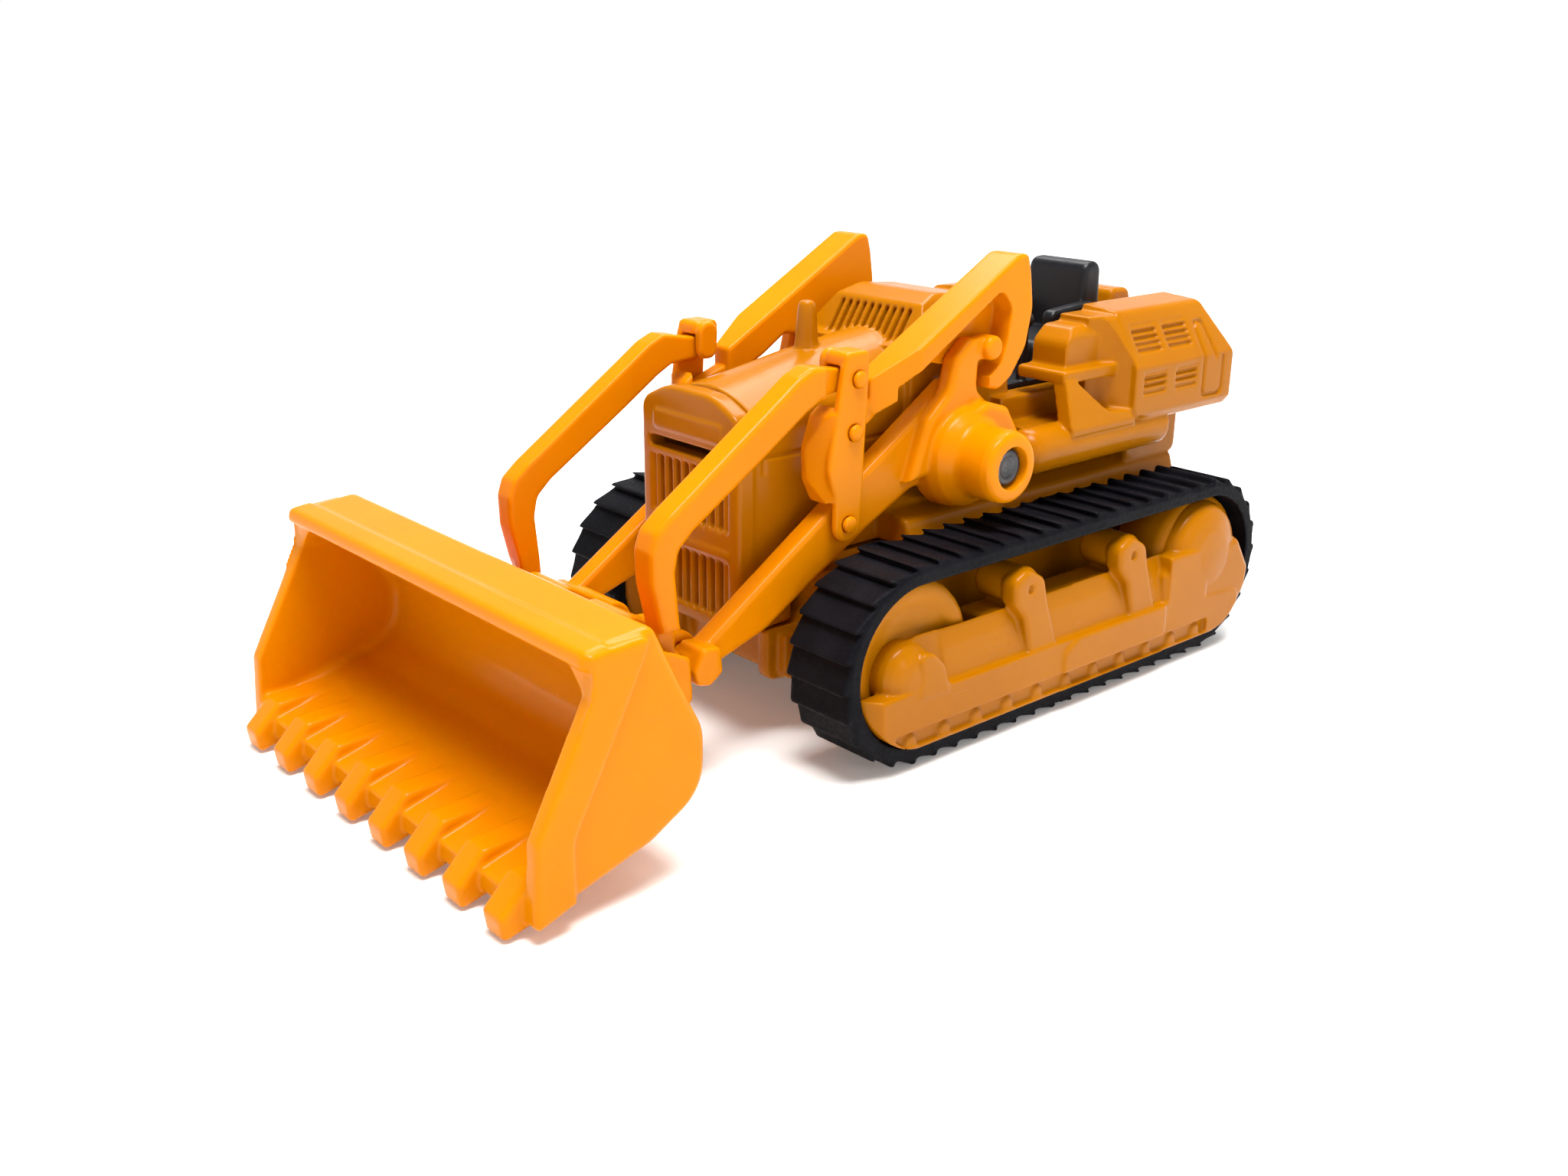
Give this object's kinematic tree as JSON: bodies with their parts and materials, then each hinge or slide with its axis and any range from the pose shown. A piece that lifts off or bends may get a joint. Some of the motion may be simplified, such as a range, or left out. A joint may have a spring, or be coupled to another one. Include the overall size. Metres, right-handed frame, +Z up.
{
  "type": "toy bulldozer",
  "caption": "Die-cast toy bulldozer on rubber tracks with a toothed front loading bucket, lifting arms and tilt links.",
  "frame": {"origin": "centre of the whole toy's box, on the ground", "axes": "+Z up; the bucket faces -Y, so +Y runs from the bucket to the tail; +X to the driver's left"},
  "size_m": [0.0378, 0.0762, 0.0338],
  "materials": {
    "paint": "gloss enamel, orange",
    "plastic": "glossy moulded plastic, bright orange-yellow",
    "wheel_plastic": "satin moulded plastic, amber",
    "rubber": "soft moulded rubber, black",
    "black_plastic": "moulded plastic, black",
    "steel": "dull steel"
  },
  "bodies": {
    "chassis": {"body_shell": "paint", "base": "paint", "rivet_front": "steel", "rivet_rear": "steel", "track_frame_left": "paint", "track_frame_right": "paint", "track_left": "rubber", "track_right": "rubber", "seat_insert": "black_plastic", "grille_liner": "black_plastic"},
    "front_wheels": {"front_axle": "steel", "idler_left": "wheel_plastic", "idler_right": "wheel_plastic"},
    "rear_wheels": {"rear_axle": "steel", "drive_wheel_left": "wheel_plastic", "drive_wheel_right": "wheel_plastic"},
    "boom": {"boom_left": "plastic", "boom_right": "plastic", "boom_pivot_pin": "steel"},
    "bucket": {"bucket": "plastic"},
    "bellcrank_left": {"bellcrank_left": "plastic"},
    "bellcrank_right": {"bellcrank_right": "plastic"},
    "link_left": {"link_left": "plastic"},
    "link_right": {"link_right": "plastic"},
    "tilt_arm_left": {"tilt_arm_left": "plastic"},
    "tilt_arm_right": {"tilt_arm_right": "plastic"}
  },
  "joints": [
    {"name": "boom_lift", "type": "hinge", "parent": "chassis", "child": "boom", "pos_m": [0, 0.0073, 0.0194], "axis": [-1, 0, 0], "range_deg": [0, 25]},
    {"name": "bucket_tilt", "type": "hinge", "parent": "boom", "child": "bucket", "pos_m": [0, -0.0168, 0.0089], "axis": [1, 0, 0], "range_deg": [-30, 0]},
    {"name": "bellcrank_left_swing", "type": "hinge", "parent": "boom", "child": "bellcrank_left", "pos_m": [0.009, -0.0042, 0.0163], "axis": [1, 0, 0], "range_deg": [-14, 2]},
    {"name": "link_left_swing", "type": "hinge", "parent": "bellcrank_left", "child": "link_left", "pos_m": [0.0085, -0.0035, 0.0265], "axis": [1, 0, 0], "range_deg": [-2, 8]},
    {"name": "tilt_arm_left_swing", "type": "hinge", "parent": "bellcrank_left", "child": "tilt_arm_left", "pos_m": [0.0085, -0.0038, 0.0228], "axis": [1, 0, 0], "range_deg": [-2, 18]},
    {"name": "bellcrank_right_swing", "type": "hinge", "parent": "boom", "child": "bellcrank_right", "pos_m": [-0.009, -0.0042, 0.0163], "axis": [1, 0, 0], "range_deg": [-14, 2]},
    {"name": "link_right_swing", "type": "hinge", "parent": "bellcrank_right", "child": "link_right", "pos_m": [-0.0085, -0.0035, 0.0265], "axis": [1, 0, 0], "range_deg": [-2, 8]},
    {"name": "tilt_arm_right_swing", "type": "hinge", "parent": "bellcrank_right", "child": "tilt_arm_right", "pos_m": [-0.0085, -0.0038, 0.0228], "axis": [1, 0, 0], "range_deg": [-2, 18]},
    {"name": "front_wheels_spin", "type": "hinge", "parent": "chassis", "child": "front_wheels", "pos_m": [0, -0.0034, 0.0075], "axis": [1, 0, 0], "continuous": true},
    {"name": "rear_wheels_spin", "type": "hinge", "parent": "chassis", "child": "rear_wheels", "pos_m": [0, 0.0305, 0.0075], "axis": [1, 0, 0], "continuous": true}
  ],
  "couplings": [
    {"joint": "bellcrank_left_swing", "follows": "bucket_tilt", "ratio": 0.415},
    {"joint": "link_left_swing", "follows": "bucket_tilt", "ratio": -0.225},
    {"joint": "tilt_arm_left_swing", "follows": "bucket_tilt", "ratio": -0.548},
    {"joint": "bellcrank_right_swing", "follows": "bucket_tilt", "ratio": 0.415},
    {"joint": "link_right_swing", "follows": "bucket_tilt", "ratio": -0.225},
    {"joint": "tilt_arm_right_swing", "follows": "bucket_tilt", "ratio": -0.548},
    {"joint": "rear_wheels_spin", "follows": "front_wheels_spin", "ratio": 1}
  ]
}
